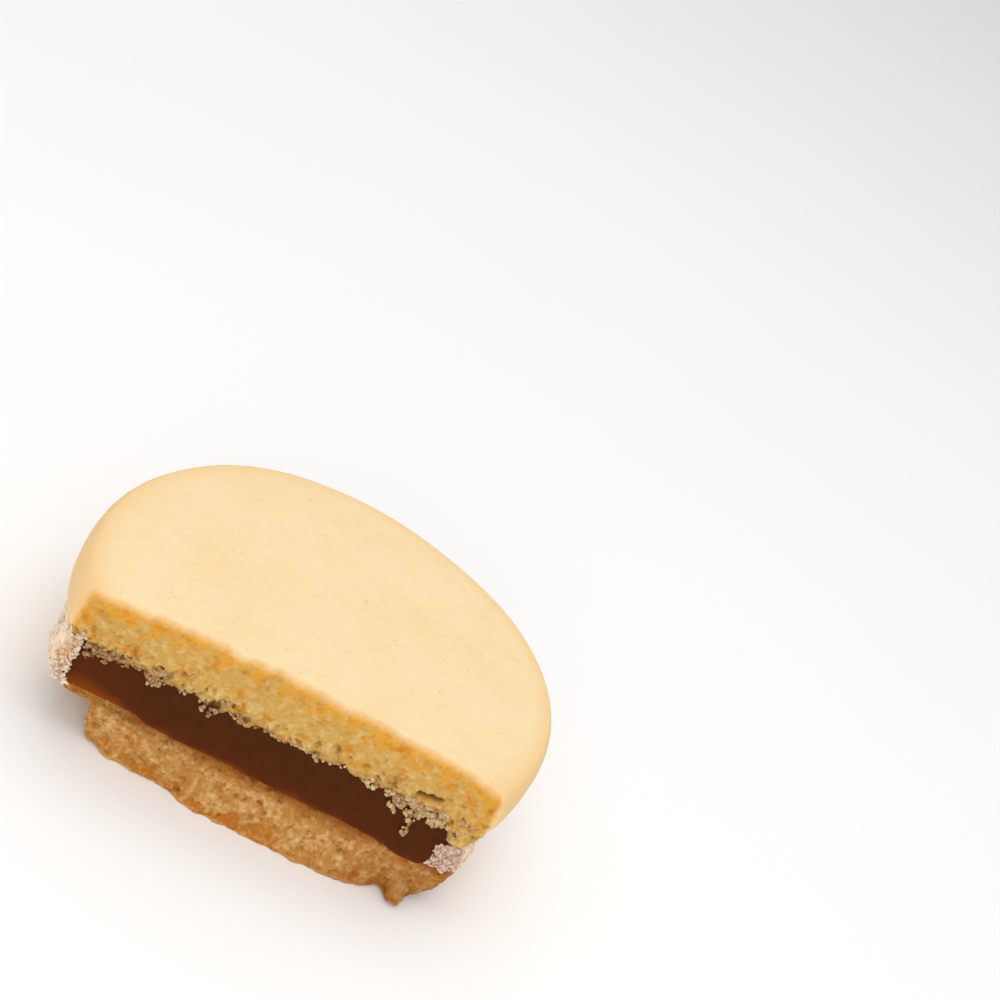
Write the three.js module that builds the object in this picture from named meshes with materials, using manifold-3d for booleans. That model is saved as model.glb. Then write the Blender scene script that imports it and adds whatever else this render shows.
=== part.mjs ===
// A cornflour alfajor, cut straight across: two round biscuits with a thick layer of caramel milk
// spread between them, and about three quarters of the round left.
//
// Millimetres, +Z up. The biscuits lie flat, the cut side faces -Y and runs along X, and the
// origin is under the middle of the whole. Each layer is turned as a disc about its own axis, its
// outline is made a little uneven, and a rippled block then takes the missing piece away.

import * as THREE from 'three';
import { mergeVertices } from 'three/addons/utils/BufferGeometryUtils.js';
import Module from 'manifold-3d';

const wasm = await Module();
wasm.setup();

// ---- Driving dimensions ----------------------------------------------------------------------

const BISCUIT_RADIUS = 33;      // the upper biscuit, measured from the middle of the round
const CUT_OFFSET = 14.2;        // from the middle of the round to the cut
const BISCUIT_THICK = 7.9;      // both biscuits
const FILLING_THICK = 8.4;
const GAP = 0.3;                // clearance between layers that touch

const ROUND_SEGMENTS = 84;      // facets round each disc
const CUT_COLUMNS = 44;         // facets along the cut
const CUT_ROWS = 5;             // facets up the cut of one layer
const CUT_SPAN = 80;            // width of the block that makes the cut
const CUT_DEPTH = 40;           // its depth, more than the piece that it removes
const CUT_OVERRUN = 2;          // how far it passes above and below a layer

// Each biscuit is baked flat on one side and domed on the other, with a rounded shoulder.
const ARC_STEPS = 6;            // facets along a quarter arc of a profile
const DOME_RINGS = 5;           // facet rings from the shoulder in to the level middle
const BISCUIT_FOOT = 1.3;       // rounding at the flat side's edge
const UPPER_BISCUIT = { radius: BISCUIT_RADIUS, shoulderIn: 1.7, shoulderUp: 4.4, dome: 1, level: 0 };
const LOWER_BISCUIT = { radius: 30.1, shoulderIn: 2.6, shoulderUp: 3, dome: 2.4, level: 15 };
const LOWER_BISCUIT_SHIFT = 0.4;    // the lower biscuit sits a little to +X

// The filling bulges at its rim, most a third of the way up, and is pressed out a little to -X.
const FILLING_RADIUS = 31.6;
const FILLING_SHIFT = -1.1;
const FILLING_WIDEST = 0.35;        // share of its height at which it reaches furthest
const FILLING_FOOT_IN = 1.8;        // how much less it reaches at its lower face
const FILLING_TOP_IN = 2.1;         // and at its upper face

// Forms of the cut faces. The crust's lip wanders along the upper edge of the cut, and the lower
// biscuit's crumb stands out towards its foot.
const LIP_WANDER = { mean: 0.2, swing: 0.8, middle: -9, wavelength: 44 };
const FOOT_OUT = { depth: 2.2, middle: 7, width: 12 };
const RIPPLE_UPPER = { amplitude: 0.14, phase: 0.3 };
const RIPPLE_FILLING = { amplitude: 0.07, phase: 1.9 };
const RIPPLE_LOWER = { amplitude: 0.18, phase: 4.1 };
const FILLING_INSET = 0.3;          // the filling's face lies this far behind the crumb above it

// The lower biscuit's corner at the -X end of the cut has broken away, most at its foot.
const CHIP = { edgeX: -22.3, backY: -3.8, turn: 6 };
const CHIP_REACH = 40;              // well outside the biscuit
const CHIP_TAPER = { height: 3.4, shift: 4.4 };
const CHIP_STEPS = 8;

// A lump of crumb hangs under the lower biscuit's shoulder near the +X end of the cut.
const LUMP = { x: 22.9, y: -13.4, z: 1.8, across: 2, deep: 1.7, high: 1.8 };

// ---- Uneven shapes ---------------------------------------------------------------------------

// Departure of an outline from a circle at an angle about the disc's axis.
// Each wave is [turns per round, cosine part, sine part], in millimetres.
const UPPER_OUTLINE = [[2, -0.13, 0.03], [3, 0.01, 0.42], [4, 0.02, 0.37], [9, 0.05, 0.04]];
const LOWER_OUTLINE = [[2, 0.2, -0.1], [3, 0.1, 0.15], [5, 0.1, -0.12], [9, 0.06, 0.05]];
const FILLING_OUTLINE = [[3, 0.1, 0.12], [5, -0.12, 0.12], [7, 0.1, 0.1], [11, 0.08, -0.06]];

// Trains of waves that ripple a cut face: two long ones that cross and a short one.
// Each is [radians per mm along the cut, radians per mm up it, share of the amplitude, phase factor].
const RIPPLE_TRAINS = [[0.31, 0.4, 1, 1], [0.73, -0.5, 0.6, 2.1], [1.7, 1.3, 0.5, 3.7]];

function outlineOffset(waves, angle) {
  let offset = 0;
  for (const [turns, cosine, sine] of waves) {
    offset += cosine * Math.cos(turns * angle) + sine * Math.sin(turns * angle);
  }
  return offset;
}

// Ripple of a cut face at a place along it and up it.
function ripple({ amplitude, phase }, x, z) {
  let height = 0;
  for (const [along, up, share, turn] of RIPPLE_TRAINS) {
    height += amplitude * share * Math.sin(along * x + up * z + turn * phase);
  }
  return height;
}

// How far the lip of the upper crust lies towards +Y of the cut: one slow wave along it.
function lipWander(x) {
  const turn = (2 * Math.PI * (x - LIP_WANDER.middle)) / LIP_WANDER.wavelength;
  return LIP_WANDER.mean + LIP_WANDER.swing * Math.cos(turn);
}

// How far the lower biscuit's crumb stands out at its foot: one smooth swell along the cut.
function footOut(x) {
  const across = (x - FOOT_OUT.middle) / FOOT_OUT.width;
  return FOOT_OUT.depth * Math.exp(-across * across);
}

// ---- Solids ----------------------------------------------------------------------------------

// A three.js geometry as a manifold solid. Vertices at one place become one, and the triangles
// that shrink to a line there, as at a pole, are left out.
function toSolid(geometry) {
  const bare = geometry.clone();
  bare.deleteAttribute('normal');
  bare.deleteAttribute('uv');
  const merged = mergeVertices(bare);
  const corners = merged.index.array;
  const triangles = [];
  for (let i = 0; i < corners.length; i += 3) {
    const [a, b, c] = corners.subarray(i, i + 3);
    if (a !== b && b !== c && c !== a) {
      triangles.push(a, b, c);
    }
  }
  return new wasm.Manifold(new wasm.Mesh({
    numProp: 3,
    vertProperties: new Float32Array(merged.attributes.position.array),
    triVerts: new Uint32Array(triangles),
  }));
}

function toGeometry(solid) {
  const mesh = solid.getMesh();
  const geometry = new THREE.BufferGeometry();
  geometry.setAttribute('position', new THREE.BufferAttribute(mesh.vertProperties, 3));
  geometry.setIndex(new THREE.BufferAttribute(mesh.triVerts, 1));
  geometry.computeVertexNormals();
  return geometry;
}

// Turns a profile about Z, moves it along X and gives its rim the uneven outline.
function disc(profile, waves, shift) {
  const geometry = new THREE.LatheGeometry(profile, ROUND_SEGMENTS);
  geometry.rotateX(Math.PI / 2);
  const rim = Math.max(...profile.map((point) => point.x));
  const place = geometry.attributes.position;
  for (let i = 0; i < place.count; i += 1) {
    const x = place.getX(i);
    const y = place.getY(i);
    const stretch = 1 + outlineOffset(waves, Math.atan2(y, x)) / rim;
    place.setXY(i, x * stretch + shift, y * stretch);
  }
  return toSolid(geometry);
}

// Points along a quarter ellipse about a centre, from one direction to another in radians.
function arc(centre, across, up, from, to, steps) {
  const points = [];
  for (let i = 0; i <= steps; i += 1) {
    const angle = from + ((to - from) * i) / steps;
    points.push(new THREE.Vector2(centre.x + across * Math.cos(angle), centre.y + up * Math.sin(angle)));
  }
  return points;
}

// Profile of a biscuit from the middle of its flat side round the rim to the middle of its baked
// side. That side is level out to a radius and from there falls away as a parabola.
function biscuitProfile({ radius, shoulderIn, shoulderUp, dome, level }, thick) {
  const quarter = Math.PI / 2;
  const foot = arc(
    new THREE.Vector2(radius - BISCUIT_FOOT, BISCUIT_FOOT),
    BISCUIT_FOOT, BISCUIT_FOOT, -quarter, 0, ARC_STEPS / 2,
  );
  const shoulder = arc(
    new THREE.Vector2(radius - shoulderIn, thick - dome - shoulderUp),
    shoulderIn, shoulderUp, 0, quarter, ARC_STEPS,
  );
  const face = [];
  for (let ring = DOME_RINGS - 1; ring >= 0; ring -= 1) {
    const share = ring / DOME_RINGS;
    const out = level + (radius - shoulderIn - level) * share;
    face.push(new THREE.Vector2(out, thick - dome * share * share));
  }
  const middle = level > 0 ? [new THREE.Vector2(0, thick)] : [];
  return [new THREE.Vector2(0, 0), ...foot, ...shoulder, ...face, ...middle];
}

// Profile of the filling: flat above and below, with a bulging rim made of two quarter ellipses.
function fillingProfile(thick) {
  const quarter = Math.PI / 2;
  const widest = thick * FILLING_WIDEST;
  const below = arc(
    new THREE.Vector2(FILLING_RADIUS - FILLING_FOOT_IN, widest),
    FILLING_FOOT_IN, widest, -quarter, 0, ARC_STEPS - 1,
  );
  const above = arc(
    new THREE.Vector2(FILLING_RADIUS - FILLING_TOP_IN, widest),
    FILLING_TOP_IN, thick - widest, 0, quarter, ARC_STEPS,
  );
  return [new THREE.Vector2(0, 0), ...below, ...above.slice(1), new THREE.Vector2(0, thick)];
}

// Moves a profile up, turning it over first where the baked side is to face down.
function stand(profile, base, thick, turnedOver) {
  const placed = profile.map((point) => new THREE.Vector2(
    point.x,
    base + (turnedOver ? thick - point.y : point.y),
  ));
  return turnedOver ? placed.reverse() : placed;
}

// The block that makes the cut through one layer. Its +Y side stands at the cut and takes the
// form of depart(x, z), which is how far the layer's cut face lies towards +Y there.
function cutter(base, thick, depart) {
  const height = thick + 2 * CUT_OVERRUN;
  const geometry = new THREE.BoxGeometry(CUT_SPAN, CUT_DEPTH, height, CUT_COLUMNS, 1, CUT_ROWS);
  geometry.translate(0, -CUT_OFFSET - CUT_DEPTH / 2, base + thick / 2);
  const middle = -CUT_OFFSET - CUT_DEPTH / 2;
  const place = geometry.attributes.position;
  for (let i = 0; i < place.count; i += 1) {
    if (place.getY(i) > middle) {
      place.setY(i, place.getY(i) + depart(place.getX(i), place.getZ(i)));
    }
  }
  return toSolid(geometry);
}

// The piece that has broken off the lower biscuit: a block beyond the break, whose inner edge
// runs back from the cut and then turns out to the rim. Near the foot it reaches further in.
function chip(thick) {
  const shape = new THREE.Shape();
  shape.moveTo(-CHIP_REACH, -CHIP_REACH);
  shape.lineTo(CHIP.edgeX, -CHIP_REACH);
  shape.lineTo(CHIP.edgeX, -CUT_OFFSET);
  shape.bezierCurveTo(CHIP.edgeX, CHIP.backY, CHIP.edgeX, CHIP.backY, CHIP.edgeX - CHIP.turn, CHIP.backY);
  shape.lineTo(-CHIP_REACH, CHIP.backY);
  shape.closePath();
  const geometry = new THREE.ExtrudeGeometry(shape, {
    depth: thick + 2 * CUT_OVERRUN,
    steps: CHIP_STEPS,
    curveSegments: ARC_STEPS,
    bevelEnabled: false,
  });
  geometry.translate(0, 0, -CUT_OVERRUN);
  const place = geometry.attributes.position;
  for (let i = 0; i < place.count; i += 1) {
    const share = THREE.MathUtils.clamp(1 - place.getZ(i) / CHIP_TAPER.height, 0, 1);
    place.setX(i, place.getX(i) + CHIP_TAPER.shift * share * share);
  }
  return toSolid(geometry);
}

function lump() {
  const geometry = new THREE.IcosahedronGeometry(1, 2);
  geometry.scale(LUMP.across, LUMP.deep, LUMP.high);
  geometry.translate(LUMP.x, LUMP.y, LUMP.z);
  return toSolid(geometry);
}

// ---- The three layers ------------------------------------------------------------------------

function upperBiscuit() {
  const base = BISCUIT_THICK + FILLING_THICK + GAP / 2;
  const thick = BISCUIT_THICK - GAP / 2;
  const profile = stand(biscuitProfile(UPPER_BISCUIT, thick), base, thick, false);
  const cut = cutter(base, thick, (x, z) => {
    const up = THREE.MathUtils.clamp((z - base) / thick, 0, 1);
    return ripple(RIPPLE_UPPER, x, z) + lipWander(x) * up;
  });
  return disc(profile, UPPER_OUTLINE, 0).subtract(cut);
}

function filling() {
  const base = BISCUIT_THICK + GAP / 2;
  const thick = FILLING_THICK - GAP;
  const profile = stand(fillingProfile(thick), base, thick, false);
  const cut = cutter(base, thick, (x, z) => FILLING_INSET + ripple(RIPPLE_FILLING, x, z));
  return disc(profile, FILLING_OUTLINE, FILLING_SHIFT).subtract(cut);
}

function lowerBiscuit() {
  const thick = BISCUIT_THICK - GAP / 2;
  const profile = stand(biscuitProfile(LOWER_BISCUIT, thick), 0, thick, true);
  const cut = cutter(0, thick, (x, z) => {
    const down = THREE.MathUtils.clamp(1 - z / thick, 0, 1);
    return ripple(RIPPLE_LOWER, x, z) - footOut(x) * down;
  });
  return disc(profile, LOWER_OUTLINE, LOWER_BISCUIT_SHIFT).subtract(cut).add(lump()).subtract(chip(thick));
}

function food(name, colour, roughness, solid) {
  const material = new THREE.MeshStandardMaterial({ color: colour, roughness, metalness: 0 });
  const mesh = new THREE.Mesh(toGeometry(solid), material);
  mesh.name = name;
  return mesh;
}

const alfajor = new THREE.Group();
alfajor.add(food('biscuit_top', 0xfbe0ae, 0.8, upperBiscuit()));
alfajor.add(food('filling', 0x5a2d18, 0.35, filling()));
alfajor.add(food('biscuit_bottom', 0xd9a45c, 0.9, lowerBiscuit()));

// The origin goes under the middle of the whole, at the level that it rests on.
const box = new THREE.Box3().setFromObject(alfajor);
const middle = box.getCenter(new THREE.Vector3());
alfajor.position.set(-middle.x, -middle.y, -box.min.z);

export default alfajor;
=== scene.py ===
"""A cornflour alfajor, cut straight across: two biscuits, caramel between them, coconut and crumbs.

Shapes are worked out in millimetres about the middle of the round, with the cut facing -Y and the
rest level at z = 0. Skin.make() moves them into the frame, in metres.
"""

import logging
import math
from collections.abc import Callable
from dataclasses import dataclass, field
from enum import Enum

import bpy
import numpy as np
from mathutils import Matrix, Vector


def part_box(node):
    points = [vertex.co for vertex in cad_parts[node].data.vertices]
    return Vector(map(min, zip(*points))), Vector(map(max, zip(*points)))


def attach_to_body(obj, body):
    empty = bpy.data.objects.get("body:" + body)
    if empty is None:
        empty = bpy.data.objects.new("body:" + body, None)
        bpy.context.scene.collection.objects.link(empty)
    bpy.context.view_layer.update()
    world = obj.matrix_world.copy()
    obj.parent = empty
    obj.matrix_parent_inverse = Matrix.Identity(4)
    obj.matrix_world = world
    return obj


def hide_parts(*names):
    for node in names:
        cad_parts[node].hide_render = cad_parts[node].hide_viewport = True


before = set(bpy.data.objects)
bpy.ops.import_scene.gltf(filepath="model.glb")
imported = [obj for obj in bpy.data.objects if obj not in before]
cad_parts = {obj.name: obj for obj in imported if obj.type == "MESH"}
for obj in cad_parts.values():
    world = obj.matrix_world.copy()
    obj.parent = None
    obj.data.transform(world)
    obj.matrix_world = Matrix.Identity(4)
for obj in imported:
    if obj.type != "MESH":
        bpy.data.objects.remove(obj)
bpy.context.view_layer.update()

LOG = logging.getLogger("alfajor")
MM = 0.001
# How far before the middle of the round the cut runs, as y in millimetres.
CUT_Y = -14.2
# Half the gap that the CAD keeps between two layers, in millimetres.
HALF_GAP = 0.15
# Depth under the crust at which the crumb is palest, in millimetres.
PALE_DEPTH = 8.0

Array = np.ndarray
Wave = tuple[float, float, float]


# ---- Uneven numbers --------------------------------------------------------------------------


def lattice_random(cells: Array, seed: int) -> Array:
    """Gives every whole-number place of a lattice its own number from 0 to 1.

    Each coordinate is multiplied by a large odd number, the products are added, and shifts with
    exclusive-or mix the high bits into the low ones.

    Args:
        cells: Whole-number coordinates, with the last axis of length 3.
        seed: Picks one of many such lattices.

    Returns:
        One number for each place, without the last axis.
    """
    c = cells.astype(np.int64).astype(np.uint32)
    h = c[..., 0] * np.uint32(374761393) + c[..., 1] * np.uint32(668265263)
    h = h + c[..., 2] * np.uint32(2246822519) + np.uint32((seed * 3266489917) % 2**32)
    h = (h ^ (h >> np.uint32(13))) * np.uint32(1274126177)
    h = (h ^ (h >> np.uint32(15))) * np.uint32(2654435761)
    return (h ^ (h >> np.uint32(16))) / np.float64(2**32)


def soft_noise(points: Array, size: float, seed: int) -> Array:
    """Smooth noise from -1 to 1: lattice numbers joined by cubic ease, corner by corner.

    Args:
        points: Places in millimetres, with the last axis of length 3.
        size: Spacing of the lattice in millimetres.
        seed: Picks the lattice.

    Returns:
        One value for each place.
    """
    scaled = points / size
    base = np.floor(scaled)
    part = scaled - base
    ease = part * part * (3 - 2 * part)
    total = np.zeros(points.shape[:-1])
    for corner in np.ndindex(2, 2, 2):
        pick = np.array(corner)
        weight = np.prod(np.where(pick == 1, ease, 1 - ease), axis=-1)
        total += weight * lattice_random(base + pick, seed)
    return total * 2 - 1


def cloud(points: Array, size: float, seed: int, octaves: int = 3) -> Array:
    """Soft noise at a size and at its halves, each half as strong as the one before."""
    layers = [soft_noise(points, size / 2**i, seed + i) / 2**i for i in range(octaves)]
    return sum(layers) / 1.5


def grains(points: Array, size: float, seed: int) -> tuple[Array, Array]:
    """Packed rounded grains: each place belongs to its nearest of one random point per cell.

    A grain's height is one less twice the squared distance to its point, so grains are domes that
    meet in creases.

    Args:
        points: Places in millimetres, with the last axis of length 3.
        size: Spacing of the grains in millimetres.
        seed: Picks the pattern.

    Returns:
        The height, about -0.6 to 1, and a random number for each grain, from 0 to 1.
    """
    scaled = points / size
    base = np.floor(scaled)
    nearest = np.full(points.shape[:-1], 9.0)
    owner = np.zeros(points.shape[:-1])
    for step in np.ndindex(3, 3, 3):
        cell = base + (np.array(step) - 1)
        jitter = np.stack([lattice_random(cell, seed + k) for k in range(3)], axis=-1)
        gap = np.sum((cell + jitter - scaled) ** 2, axis=-1)
        closer = gap < nearest
        nearest = np.where(closer, gap, nearest)
        owner = np.where(closer, lattice_random(cell, seed + 7), owner)
    return 1 - 2 * nearest, owner


def rubble(points: Array, size: float, seed: int) -> Array:
    """Grains of uneven size and height, as in torn crumb.

    The places are first moved by soft noise of up to a third of the size, which bends the grains
    out of step, and each grain's height is then scaled by its own random number.

    Args:
        points: Places in millimetres, with the last axis of length 3.
        size: Usual size of a grain in millimetres.
        seed: Picks the pattern.

    Returns:
        The height, about -0.6 to 1.
    """
    sway = np.stack([soft_noise(points, size * 1.8, seed + 50 + k) for k in range(3)], axis=-1)
    dome, own = grains(points + 0.38 * size * sway, size, seed)
    return dome * (0.3 + 0.7 * own)


def ramp(value: Array, start: float, end: float) -> Array:
    """Eases from 0 at start to 1 at end, and stays level outside them."""
    share = np.clip((value - start) / (end - start), 0, 1)
    return share * share * (3 - 2 * share)


def swell(value: Array, middle: float, width: float) -> Array:
    """A bell curve of height 1 at middle that falls to about a third one width away."""
    return np.exp(-(((value - middle) / width) ** 2))


def humps(value: Array, bells: tuple[Wave, ...]) -> Array:
    """Adds up bell curves, each given as its middle, its width and its height."""
    return sum(height * swell(value, middle, width) for middle, width, height in bells)


def slopes(value: Array, steps: tuple[Wave, ...]) -> Array:
    """Adds up eased steps, each given as where it starts, where it ends and its height."""
    return sum(height * ramp(value, start, end) for start, end, height in steps)


# ---- Meshes ----------------------------------------------------------------------------------


def add_object(name: str, data: bpy.types.ID) -> bpy.types.Object:
    """Makes an object of a mesh, lamp or camera and links it to the scene."""
    made = bpy.data.objects.new(name, data)
    bpy.context.scene.collection.objects.link(made)
    return made


@dataclass(frozen=True)
class Place:
    """Where the middle of the round lies in the frame, in millimetres."""

    x: float
    y: float

    def into_frame(self, points: Array) -> Array:
        """Moves points from about the middle of the round into the frame, in metres."""
        return (points + np.array([self.x, self.y, 0.0])) * MM


@dataclass
class Skin:
    """A finished surface: its points in millimetres, its faces and numbers that colour it."""

    points: Array
    faces: Array
    marks: dict[str, Array] = field(default_factory=dict)

    def make(self, name: str, place: Place, material: bpy.types.Material) -> bpy.types.Object:
        """Makes the surface a smooth Blender object at the origin.

        Args:
            name: Name of the object.
            place: Where the middle of the round lies.
            material: The finish.

        Returns:
            The linked object.
        """
        mesh = bpy.data.meshes.new(name)
        corners = self.faces.shape[1]
        mesh.vertices.add(len(self.points))
        mesh.vertices.foreach_set("co", place.into_frame(self.points).astype(np.float32).ravel())
        mesh.loops.add(self.faces.size)
        mesh.loops.foreach_set("vertex_index", self.faces.astype(np.int32).ravel())
        mesh.polygons.add(len(self.faces))
        mesh.polygons.foreach_set("loop_start", np.arange(len(self.faces), dtype=np.int32) * corners)
        mesh.polygons.foreach_set("use_smooth", np.ones(len(self.faces), dtype=bool))
        mesh.update(calc_edges=True)
        for mark, values in self.marks.items():
            attribute = mesh.attributes.new(mark, "FLOAT", "POINT")
            attribute.data.foreach_set("value", values.astype(np.float32).ravel())
        mesh.materials.append(material)
        return add_object(name, mesh)


def wrapped_faces(rows: int, columns: int) -> Array:
    """Triangles of a grid whose rows are closed rings, shut by one pole below and one above.

    Rows run upwards and columns run anticlockwise seen from above, so the faces point outwards.
    The poles are the last two points.

    Args:
        rows: Number of rings.
        columns: Points in each ring.

    Returns:
        Triangles as rows of three point numbers.
    """
    ring = np.arange(columns)
    after = np.roll(ring, -1)
    start = (np.arange(rows - 1) * columns)[:, None]
    a, b = start + ring, start + after
    c, d = b + columns, a + columns
    walls = np.concatenate([np.stack([a, b, c], -1), np.stack([a, c, d], -1)]).reshape(-1, 3)
    low, high = rows * columns, rows * columns + 1
    floor = np.stack([after, ring, np.full(columns, low)], -1)
    last = (rows - 1) * columns
    roof = np.stack([last + ring, last + after, np.full(columns, high)], -1)
    return np.concatenate([walls, floor, roof])


def grid_normals(points: Array) -> Array:
    """Outward directions of a grid of rings: the cross product of its column and row steps."""
    along = np.roll(points, -1, axis=1) - np.roll(points, 1, axis=1)
    up = np.gradient(points, axis=0)
    normal = np.cross(along, up)
    return normal / np.maximum(np.linalg.norm(normal, axis=-1, keepdims=True), 1e-9)


def blob() -> tuple[Array, Array]:
    """A round pebble of 80 faces: an icosahedron, each face split in four and pushed out.

    Returns:
        Its points at radius 1 and its triangles, facing outwards.
    """
    g = (1 + math.sqrt(5)) / 2
    quads = np.array([(0, sign, tall * g) for sign in (-1, 1) for tall in (-1, 1)])
    corners = np.concatenate([np.roll(quads, k, axis=1) for k in range(3)]) / math.hypot(1, g)
    near = np.linalg.norm(corners[:, None] - corners[None], axis=-1) < 1.1
    found = np.argwhere(near[:, :, None] & near[None, :, :] & near[:, None, :])
    faces = found[(found[:, 0] < found[:, 1]) & (found[:, 1] < found[:, 2])]
    a, b, c = (corners[faces[:, k]] for k in range(3))
    inward = np.sum(np.cross(b - a, c - a) * a, axis=1) < 0
    faces[inward] = faces[inward][:, ::-1]
    sides = np.sort(faces[:, [[0, 1], [1, 2], [2, 0]]].reshape(-1, 2), axis=1)
    edges, which = np.unique(sides, axis=0, return_inverse=True)
    middles = corners[edges].sum(axis=1)
    middles /= np.linalg.norm(middles, axis=1, keepdims=True)
    halves = which.reshape(-1, 3) + len(corners)
    tips = np.stack([faces, halves, np.roll(halves, 1, axis=1)], axis=-1).reshape(-1, 3)
    return np.concatenate([corners, middles]), np.concatenate([tips, halves])


# ---- Outline and sides of a layer ------------------------------------------------------------


@dataclass(frozen=True)
class Plan:
    """A layer seen from above: a round whose rim wanders in a few waves, cut across in front.

    Each wave is turns per round, cosine part and sine part. Each bump is the angle of its middle,
    its width in radians and its height. Lengths are in millimetres.
    """

    radius: float
    shift: float
    waves: tuple[Wave, ...]
    bumps: tuple[Wave, ...] = ()

    def reach(self, angle: Array) -> Array:
        """Distance of the rim from the layer's own axis at an angle: radius, waves and bumps."""
        out = np.full(np.shape(angle), float(self.radius))
        for turns, cosine, sine in self.waves:
            out = out + cosine * np.cos(turns * angle) + sine * np.sin(turns * angle)
        for middle, width, height in self.bumps:
            away = np.mod(angle - middle + math.pi, 2 * math.pi) - math.pi
            out = out + height * swell(away, 0.0, width)
        return out

    def distance_in(self, x: Array, y: Array) -> Array:
        """How far a place lies inside the rim."""
        return self.reach(np.arctan2(y, x - self.shift)) - np.hypot(x - self.shift, y)


@dataclass(frozen=True)
class Chip:
    """A corner broken off at the -X end of the cut: the break runs back and turns to the rim.

    A thin ledge of crumb stays stuck to the caramel above.
    """

    edge_x: float
    back_y: float
    taper_height: float
    taper_shift: float
    ledge_low: float
    ledge_high: float
    ledge_out: float

    def corner_x(self, z: Array) -> Array:
        """X of the broken edge: it moves in towards the foot as the square of the height missing."""
        share = np.clip(1 - z / self.taper_height, 0, 1)
        ledge = self.ledge_out * ramp(z, self.ledge_low, self.ledge_high)
        return self.edge_x + self.taper_shift * share**2 - ledge


@dataclass
class Slab:
    """One layer as a closed grid: rings up its side, closed by caps of shrinking rings.

    Each ring runs along the cut from -X to +X, round the rim and, if a corner is broken off, back
    along the break. low and high give the heights of the layer's two faces, and cut gives the y of
    the cut face.
    """

    plan: Plan
    side: Array
    low: Callable[[Array, Array], Array]
    high: Callable[[Array, Array], Array]
    cut: Callable[[Array, Array], Array]
    cut_columns: int
    rim_columns: int
    low_rings: Array
    high_rings: Array
    chip: Chip | None = None
    chip_columns: int = 0
    pole: tuple[float, float] = (0.0, 6.0)
    even_over: int = 22

    def rim_end(self, left: bool) -> Array:
        """Angle at which each ring's rim meets the cut, or the break if there is one on the left.

        The angle's sine is the y of the cut over the ring's reach there, found in a few rounds.

        Args:
            left: Whether it is the -X end.

        Returns:
            One angle for each ring of the side.
        """
        inset, z = self.side.T
        angle = np.full(len(z), math.pi + 0.4 if left else -0.4)
        for _ in range(8):
            out = self.plan.reach(angle) - inset
            x = self.plan.shift + out * np.cos(angle)
            y = np.full(len(z), self.chip.back_y) if left and self.chip else self.cut(x, z)
            lean = np.arcsin(np.clip(y / out, -1, 1))
            angle = math.pi - lean if left else lean
        return angle

    def rim_point(self, angle: Array, inset: Array, z: Array) -> Array:
        """Points on the rim at an angle, drawn in by the inset."""
        out = self.plan.reach(angle) - inset
        return np.stack([self.plan.shift + out * np.cos(angle), out * np.sin(angle), z], -1)

    def rings(self) -> Array:
        """Points of the side, ring by ring, before any relief.

        Returns:
            Array of rings by columns by 3.
        """
        inset, z = self.side[:, 0][:, None], self.side[:, 1][:, None]
        share = (z - z[0]) / (z[-1] - z[0])
        right, left = self.rim_end(False)[:, None], self.rim_end(True)[:, None]
        right_x = self.rim_point(right, inset, z)[..., 0]
        left_x = self.chip.corner_x(z) if self.chip else self.rim_point(left, inset, z)[..., 0]
        t = np.arange(self.cut_columns + 1) / self.cut_columns
        x = left_x + (right_x - left_x) * t
        front = np.full_like(x, self.cut(np.array([0.0]), np.array([z.mean()]))[0])
        height = self.low(x, front) + share * (self.high(x, front) - self.low(x, front))
        face = np.stack([x, self.cut(x, height), height], -1)
        first = self.rim_point(right, inset, z)
        start = self.rim_point(left, inset, z)
        last = np.concatenate([face[:, :1, :2], z[..., None]], axis=-1) if self.chip else start
        near_left, near_right = ramp(t, 0.02, 0.0)[:, None], ramp(t, 0.98, 1.0)[:, None]
        face = face + near_right * (first - face[:, -1:]) + near_left * (last - face[:, :1])
        face = face[:, :-1]
        t = np.arange(self.rim_columns) / self.rim_columns
        angle = right + (left - right) * t
        rim = self.rim_point(angle, inset, np.broadcast_to(z, angle.shape))
        if not self.chip:
            return np.concatenate([face, rim], axis=1)
        t = (np.arange(self.chip_columns) / self.chip_columns)[None, :, None]
        bend = np.stack([left_x, np.full_like(z, self.chip.back_y), z], -1)
        broken = (1 - t) ** 3 * start + 3 * t * (1 - t) * bend + t**3 * face[:, :1]
        return np.concatenate([face, rim, broken], axis=1)

    def cap(self, edge: Array, shares: Array, height: Callable[[Array, Array], Array]) -> Array:
        """Rings that shrink from an edge ring towards the pole, laid on a face.

        The first few rings also lose the edge's small bumps, by an average over neighbouring
        points, because a bump that shrank with them would fold over itself.

        Args:
            edge: The ring they start from.
            shares: Size of each ring as a share of the edge ring.
            height: Height of the face at x and y.

        Returns:
            Array of rings by columns by 3.
        """
        pole = np.array(self.pole)
        turns = np.arange(-self.even_over, self.even_over + 1)
        evened = np.mean([np.roll(edge[:, :2], turn, axis=0) for turn in turns], axis=0)
        eased = ramp(shares, 1.0, 0.94)[:, None, None]
        ring = (1 - eased) * edge[:, :2] + eased * evened
        flat = pole + shares[:, None, None] * (ring - pole)
        return np.concatenate([flat, height(flat[..., 0], flat[..., 1])[..., None]], axis=-1)

    def grid(self) -> Array:
        """The whole grid from the lowest ring to the highest, without its poles."""
        side = self.rings()
        below = self.cap(side[0], self.low_rings[::-1], self.low)
        above = self.cap(side[-1], self.high_rings, self.high)
        return np.concatenate([below, side, above], axis=0)

    def poles(self) -> Array:
        """The two points that close the caps."""
        x, y = np.array([self.pole[0]]), np.array([self.pole[1]])
        return np.array([[x[0], y[0], self.low(x, y)[0]], [x[0], y[0], self.high(x, y)[0]]])


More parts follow.
